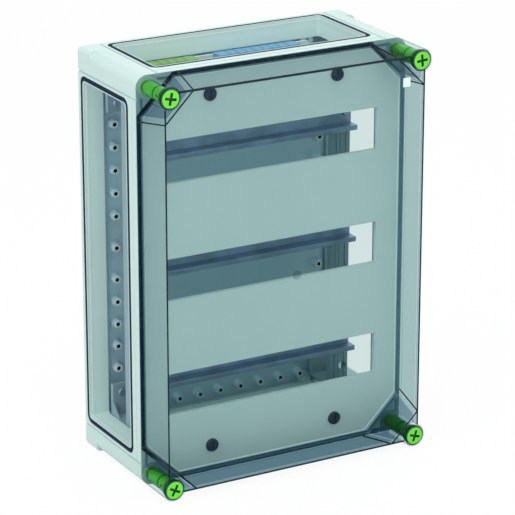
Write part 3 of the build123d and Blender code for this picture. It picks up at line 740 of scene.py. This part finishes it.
class CABINET_OT_lid(Operator):
    """Clear lid with its dark edges, and the blank label inside it"""

    bl_idname = "cabinet.lid"
    bl_label = "Lid"

    def execute(self, context):
        sizes, colours = context.scene.cabinet_sizes, context.scene.cabinet_colours
        clear = clear_smoke("clear smoke", colours.lid_through, colours.lid_body)
        lid = dress("cover", "clear_lid", sizes.lid_edge, clear, "clear_smoke", "lid")
        paint(
            lid,
            clear_smoke("clear smoke, walls", colours.wall_through, colours.lid_body),
            lambda place, normal: abs(normal.y) < 0.5,
        )
        # Painted shade on the lid's bottom wall
        paint(
            lid,
            clear_smoke("clear smoke, painted shade underneath", colours.under_shade_through, colours.lid_body),
            lambda place, normal: abs(normal.z) > 0.8 and place.z < middle_z,
        )
        paint(
            lid,
            clear_smoke("clear smoke, corners", colours.corner_through, colours.lid_body, 0.6),
            lambda place, normal: self.in_corner(sizes, place),
        )
        paint(
            lid,
            clear_smoke("clear smoke, channels", colours.channel_through, colours.lid_body, 0.7),
            lambda place, normal: self.in_channel(sizes, place),
        )
        core = clear_smoke("clear smoke, core", colours.wall_through, colours.lid_body, 0.0)
        cores = finish_piece(self.cores(sizes), core, "clear_smoke", "lid")
        paint(
            cores,
            clear,
            lambda place, normal: math.hypot(place.x, place.z - middle_z) < 2 * sizes.mark_radius,
        )
        edge = dark_edge("lid edge", shade(colours.lid_body, 0.6))
        finish_piece(self.lines(sizes), edge, "clear_smoke", "lid")
        film = label_film_with_glow("blank film", colours.label)
        dress("cover_label", "blank_label", sizes.label_edge, film, "label_white", "lid")
        return {"FINISHED"}

    def from_corner(self, place):
        """How far a place lies from the nearest side and from the nearest end."""
        return lid_high.x - abs(place.x), (lid_high.z - lid_low.z) / 2 - abs(place.z - middle_z)

    def in_corner(self, sizes, place):
        """Whether a place belongs to a diagonal corner wall."""
        behind_face = place.y > lid_low.y + 2 * MM
        return behind_face and sum(self.from_corner(place)) < sizes.corner_leg + 1 * MM

    def in_channel(self, sizes, place):
        """Whether a place belongs to a screw channel."""
        x, z = self.from_corner(place)
        return math.hypot(x - sizes.screw_inset, z - sizes.screw_inset) < sizes.channel_reach

    def cores(self, sizes):
        """Thin tinted sheets where the lid's face meets its walls, and a disc in its round mark."""
        across = sizes.lid_wall
        y = lid_low.y + sizes.channel_front + across / 2
        half_w = lid_high.x - sizes.face_inset - across / 2
        half_h = (lid_high.z - lid_low.z) / 2 - sizes.face_inset - across / 2
        clear = sizes.screw_inset + sizes.channel_clear
        wide = 2 * (lid_high.x - clear)
        tall = lid_high.z - lid_low.z - 2 * clear
        pieces = []
        for end in (-1, 1):
            beside = (end * half_w, y, middle_z)
            above = (0, y, middle_z + end * half_h)
            pieces.append(sheet(beside, (sizes.core_wide, sizes.core_thick, tall), "Z", -end))
            pieces.append(sheet(above, (wide, sizes.core_thick, sizes.core_wide), "X", end))
        bpy.ops.mesh.primitive_cylinder_add(
            vertices=64,
            radius=sizes.mark_radius,
            depth=sizes.core_thick,
            location=(0, y, middle_z),
            rotation=(math.pi / 2, 0, 0),
        )
        pieces.append(bpy.context.object)
        return join("lid_cores", pieces)

    def lines(self, sizes):
        """Dark lines along the edges of the lid's face and diagonals, and round its screws."""
        radius = sizes.line_radius
        half_w = lid_high.x - sizes.face_inset - radius
        half_h = (lid_high.z - lid_low.z) / 2 - sizes.face_inset - radius
        rim_w = lid_high.x - radius
        rim_h = (lid_high.z - lid_low.z) / 2 - radius
        channel_y = lid_low.y + radius
        face_y = lid_low.y + sizes.channel_front + radius
        rim_y = lid_high.y - radius
        reach = half_w + radius + half_h + radius + 2 * sizes.face_inset - sizes.corner_leg
        screw_x = lid_high.x - sizes.screw_inset
        screw_z = (lid_high.z - lid_low.z) / 2 - sizes.screw_inset
        pieces = []
        for side in (-1, 1):
            end_z = screw_z - sizes.channel_clear
            pieces.append(
                line(
                    (side * half_w, face_y, middle_z - end_z),
                    (side * half_w, face_y, middle_z + end_z),
                    radius,
                )
            )
            end_x = screw_x - sizes.channel_clear
            pieces.append(
                line(
                    (-end_x, face_y + TOUCH, middle_z + side * half_h),
                    (end_x, face_y + TOUCH, middle_z + side * half_h),
                    sizes.top_line_radius if side > 0 else radius,
                )
            )
        for side, end in CORNERS.values():
            high = (side * (reach - half_h), face_y, middle_z + end * half_h)
            low = (side * half_w, face_y, middle_z + end * (reach - half_w))
            high_rim = (side * (reach - rim_h), rim_y, middle_z + end * rim_h)
            low_rim = (side * rim_w, rim_y, middle_z + end * (reach - rim_w))
            for start, stop in ((high, low), (high, high_rim), (low, low_rim)):
                pieces.append(line(start, stop, radius))
            pieces.append(
                ring(
                    (side * screw_x, channel_y + 0.2 * MM, middle_z + end * screw_z),
                    sizes.head_ring,
                    sizes.head_ring_wire,
                )
            )
        pieces.append(ring((0, face_y - radius, middle_z), sizes.mark_radius, sizes.mark_wire))
        piece = join("lid_edges", pieces)
        bpy.ops.object.shade_smooth_by_angle(angle=math.radians(50))
        return piece


class CABINET_OT_lid_screws(Operator):
    """Captive lid screws in lime plastic"""

    bl_idname = "cabinet.lid_screws"
    bl_label = "Lid screws"

    def execute(self, context):
        sizes, colours = context.scene.cabinet_sizes, context.scene.cabinet_colours
        plastic = gloss_plastic("lime plastic", colours.screw)
        body = gloss_plastic("lime plastic, body in painted shade", colours.screw_body_shade)
        shaded = gloss_plastic("lime plastic, painted shade", colours.screw_shade, rough=0.4)
        for corner in CORNERS:
            screw = dress(
                f"cover_screw_{corner}",
                f"lime_screw_{corner}",
                sizes.screw_edge,
                plastic,
                "screw_lime",
                f"lid_screw_{corner}",
            )
            low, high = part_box(f"cover_screw_{corner}")
            axis = Vector(((low.x + high.x) / 2, 0, (low.z + high.z) / 2))
            # Painted shade on the bodies in the channels
            paint(screw, body, lambda place, normal: place.y - low.y > sizes.body_back)
            # Painted shade in the cross recess and on the head's edge
            paint(screw, shaded, lambda place, normal: self.in_shade(sizes, place, axis, low.y))
        return {"FINISHED"}

    def in_shade(self, sizes, place, axis, front):
        """Whether a place lies in the cross recess of a screw's head or on the head's edge, where
        shade is painted.
        """
        away = math.hypot(place.x - axis.x, place.z - axis.z)
        back = place.y - front
        in_cross = away < sizes.cross_reach and 0.12 * MM < back < sizes.cross_deep
        return in_cross or (away > sizes.head_flat and TOUCH < back < sizes.head_deep)


class CABINET_OT_plate(Operator):
    """Inner plate and its turn locks"""

    bl_idname = "cabinet.plate"
    bl_label = "Inner plate"

    def execute(self, context):
        sizes, colours = context.scene.cabinet_sizes, context.scene.cabinet_colours
        plastic = moulded_plastic("plate plastic", colours.plate, grain=3000.0, rough=0.5)
        plate = dress(
            "contact_plate", "inner_plate", sizes.plate_edge, plastic, "plate_grey", "inner_plate"
        )
        # Painted light on the bead and on the cut-outs' sides
        paint(
            plate,
            moulded_plastic("plate plastic, painted light", colours.plate_highlight, grain=3000.0, rough=0.3),
            lambda place, normal: self.on_bead_or_cutout(sizes, place, normal),
        )
        on_plate = plate_low.y + sizes.bead + 0.05 * MM
        mark = ring(
            (sizes.gate_x, on_plate, middle_z + sizes.gate_z), sizes.gate_radius, sizes.gate_wire
        )
        mark.name = mark.data.name = "gate_mark"
        bpy.ops.object.transform_apply(location=True, rotation=True, scale=True)
        bpy.ops.object.shade_smooth()
        finish_piece(mark, plastic, "plate_grey", "inner_plate")
        lock = gloss_plastic("lock plastic", colours.lock, rough=0.4)
        for corner in CORNERS:
            dress(
                f"plate_lock_{corner}",
                f"turn_lock_{corner}",
                sizes.screw_edge,
                lock,
                "lock_navy",
                f"lock_{corner}",
            )
        return {"FINISHED"}

    def on_bead_or_cutout(self, sizes, place, normal):
        """Whether a place lies on the bead round the plate or on an upright side of a cut-out,
        where light is painted.
        """
        inside = sizes.cutout_from < abs(place.x) < plate_high.x - sizes.cutout_margin
        return place.y < plate_low.y + sizes.bead or (inside and abs(normal.x) > 0.8)


class CABINET_OT_rails(Operator):
    """Top-hat rails, bushes and the small screws"""

    bl_idname = "cabinet.rails"
    bl_label = "Rails and screws"

    def execute(self, context):
        sizes, colours = context.scene.cabinet_sizes, context.scene.cabinet_colours
        steel = zinc_plate("zinc plate", colours.steel)
        for row in ("top", "middle", "bottom"):
            dress(f"din_rail_{row}", f"rail_{row}", sizes.rail_edge, steel, "zinc_steel", "case", 3)
        screws = zinc_plate("screw zinc", colours.steel, along=(8.0, 8.0, 8.0))
        for group in ("rail_screws", "support_screws", "carrier_screws"):
            dress(group, f"{group}_dressed", sizes.screw_edge, screws, "zinc_steel", "case")
        brass = turned_brass("brass", colours.brass)
        dress("screw_bushes", "bushes", sizes.bush_edge, brass, "brass", "case")
        return {"FINISHED"}


class CABINET_OT_terminals(Operator):
    """Earth and neutral terminals on their carrier"""

    bl_idname = "cabinet.terminals"
    bl_label = "Terminals"

    def execute(self, context):
        sizes, colours = context.scene.cabinet_sizes, context.scene.cabinet_colours
        brass = turned_brass("bar brass", colours.brass)
        steel = zinc_plate("clamp zinc", colours.steel, along=(8.0, 8.0, 8.0))
        carrier = moulded_plastic("carrier plastic", colours.carrier)
        dress(
            "terminal_carrier", "carrier_strip", sizes.carrier_edge, carrier, "plate_grey", "case"
        )
        for kind, base, slot in (
            ("earth", colours.green, "terminal_green"),
            ("neutral", colours.blue, "terminal_blue"),
        ):
            plastic = moulded_plastic(f"{kind} plastic", base, rough=0.4)
            dress(f"{kind}_terminal", f"{kind}_block", sizes.terminal_edge, plastic, slot, "case")
            for node, name, metal, metal_slot in (
                (f"{kind}_bar", f"{kind}_bar_dressed", brass, "brass"),
                (f"{kind}_clamp_screws", f"{kind}_clamps", steel, "screw_steel"),
            ):
                dress(node, name, sizes.bar_edge, metal, metal_slot, "case")
        return {"FINISHED"}


class CABINET_OT_stage(Operator):
    """Pale floor, soft lamps and the camera"""

    bl_idname = "cabinet.stage"
    bl_label = "Studio"

    def execute(self, context):
        stage = context.scene.cabinet_stage
        self.floor()
        self.world(context.scene, stage)
        self.lamps(stage)
        self.camera(context.scene, stage)
        context.scene.view_settings.view_transform = "Standard"
        context.scene.cycles.transparent_max_bounces = 24
        return {"FINISHED"}

    def floor(self):
        """A wide floor that is white to the eye and still takes the cabinet's shadow."""
        bpy.ops.object.select_all(action="DESELECT")
        bpy.ops.mesh.primitive_plane_add(size=24.0, location=(0, 0, cad_box[0].z - 0.2 * MM))
        piece = bpy.context.object
        piece.name = "studio_floor"
        bpy.ops.object.transform_apply(location=True, rotation=True, scale=True)
        finish = Finish("floor paper")
        seen = Value(finish, finish.node("ShaderNodeLightPath").outputs["Is Camera Ray"])
        paper = finish.noise(300.0, 3.0)
        matt = finish.surface(
            Base_Color=finish.blend(paper, (0.86, 0.88, 0.88), (0.9, 0.92, 0.92)),
            Roughness=0.9,
            Normal=finish.bump(paper, 0.1 * MM, 0.2),
        )
        white = finish.node("ShaderNodeEmission", None, (1.0, 1.0, 1.0, 1.0), 1.0).outputs[0]
        mixed = finish.node("ShaderNodeMixShader", None, seen * 0.92, matt, white).outputs[0]
        piece.data.materials.append(finish.output(mixed))

    def world(self, scene, stage):
        """White where the camera, glass or metal sees it, and a soft level of light elsewhere."""
        world = bpy.data.worlds.new("studio")
        scene.world = world
        world.use_nodes = True
        finish = Finish("studio", world.node_tree)
        path = finish.node("ShaderNodeLightPath").outputs
        seen = Value(finish, path["Is Camera Ray"])
        seen = seen.larger(Value(finish, path["Is Transmission Ray"]))
        seen = seen.larger(Value(finish, path["Is Glossy Ray"]) * 0.7)
        light = finish.node("ShaderNodeBackground", None, (0.93, 1.0, 1.0, 1.0), stage.ambient)
        white = finish.node("ShaderNodeBackground", None, (1.0, 1.0, 1.0, 1.0), 1.0)
        mixed = finish.node("ShaderNodeMixShader", None, seen, light.outputs[0], white.outputs[0])
        finish.node("ShaderNodeOutputWorld", None, mixed.outputs[0])

    def lamps(self, stage):
        """Large soft lamps above, to the left and in front."""
        for name, place, size, power in (
            ("lamp_top", (-0.3, -0.5, 2.4), 2.0, 26.0),
            ("lamp_left", (-2.2, -0.6, 1.0), 1.8, 18.0),
            ("lamp_front", (0.4, -2.8, 1.3), 2.0, 16.0),
            ("lamp_low", (-0.4, -2.3, 0.2), 1.2, 5.5),
            ("lamp_back", (1.4, 1.8, 1.8), 2.0, 12.0),
        ):
            lamp = bpy.data.lights.new(name, "AREA")
            lamp.size = size
            lamp.energy = power * stage.light
            holder = bpy.data.objects.new(name, lamp)
            bpy.context.scene.collection.objects.link(holder)
            holder.location = place
            aim = Vector((0, 0, middle_z)) - Vector(place)
            holder.rotation_euler = aim.to_track_quat("-Z", "Y").to_euler()

    def camera(self, scene, stage):
        """The photographer's place."""
        lens = bpy.data.cameras.new("camera")
        lens.sensor_width = 36.0
        lens.lens = stage.lens
        lens.clip_start = 0.1
        lens.clip_end = 60.0
        holder = bpy.data.objects.new("camera", lens)
        scene.collection.objects.link(holder)
        flat = math.cos(stage.elevation)
        back = Vector(
            (
                math.sin(stage.azimuth) * flat,
                -math.cos(stage.azimuth) * flat,
                math.sin(stage.elevation),
            )
        )
        holder.location = Vector(stage.aim) + back * stage.distance
        holder.rotation_euler = (-back).to_track_quat("-Z", "Y").to_euler()
        scene.camera = holder


class CABINET_PT_panel(Panel):
    """Lists the steps in the sidebar"""

    bl_label = "Distribution cabinet"
    bl_idname = "CABINET_PT_panel"
    bl_space_type = "VIEW_3D"
    bl_region_type = "UI"
    bl_category = "Cabinet"

    def draw(self, context):
        layout = self.layout
        for group in ("cabinet_sizes", "cabinet_colours", "cabinet_stage"):
            settings = getattr(context.scene, group)
            box = layout.box()
            for key in settings.__annotations__:
                box.prop(settings, key)
        for step in STEPS:
            layout.operator(step.bl_idname)


STEPS = (
    CABINET_OT_stage,
    CABINET_OT_shell,
    CABINET_OT_seals,
    CABINET_OT_lid,
    CABINET_OT_lid_screws,
    CABINET_OT_plate,
    CABINET_OT_rails,
    CABINET_OT_terminals,
)
GROUPS = (CabinetSizes, CabinetColours, CabinetStage)


def register():
    for cls in GROUPS + STEPS + (CABINET_PT_panel,):
        bpy.utils.register_class(cls)
    bpy.types.Scene.cabinet_sizes = PointerProperty(type=CabinetSizes)
    bpy.types.Scene.cabinet_colours = PointerProperty(type=CabinetColours)
    bpy.types.Scene.cabinet_stage = PointerProperty(type=CabinetStage)


def unregister():
    del bpy.types.Scene.cabinet_stage
    del bpy.types.Scene.cabinet_colours
    del bpy.types.Scene.cabinet_sizes
    for cls in reversed(GROUPS + STEPS + (CABINET_PT_panel,)):
        bpy.utils.unregister_class(cls)


def main():
    register()
    for step in STEPS:
        group, name = step.bl_idname.split(".")
        getattr(getattr(bpy.ops, group), name)()


if __name__ == "__main__":
    main()
